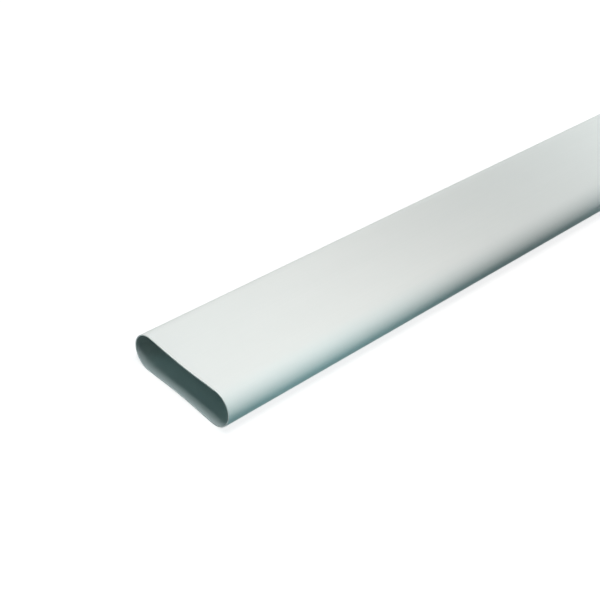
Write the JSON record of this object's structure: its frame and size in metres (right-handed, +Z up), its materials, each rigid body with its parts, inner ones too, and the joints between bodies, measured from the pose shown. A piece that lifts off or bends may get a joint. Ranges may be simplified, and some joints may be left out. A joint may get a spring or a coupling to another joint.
{
  "type": "flat channel duct",
  "caption": "Straight length of flat oblong ventilation duct in off-white rigid plastic, with flat broad faces, full-round sides, a thin even wall and plain open ends.",
  "frame": {"origin": "middle of the flat underside, half way between the sawn ends", "axes": "+X along the duct, +Y across its width, +Z up from the flat underside to the flat upper face"},
  "size_m": [1.5, 0.1998, 0.06],
  "materials": {
    "duct_pvc": "smooth off-white extruded rigid PVC with a low satin sheen"
  },
  "bodies": {
    "root": {"flat_duct": "duct_pvc"}
  },
  "joints": []
}
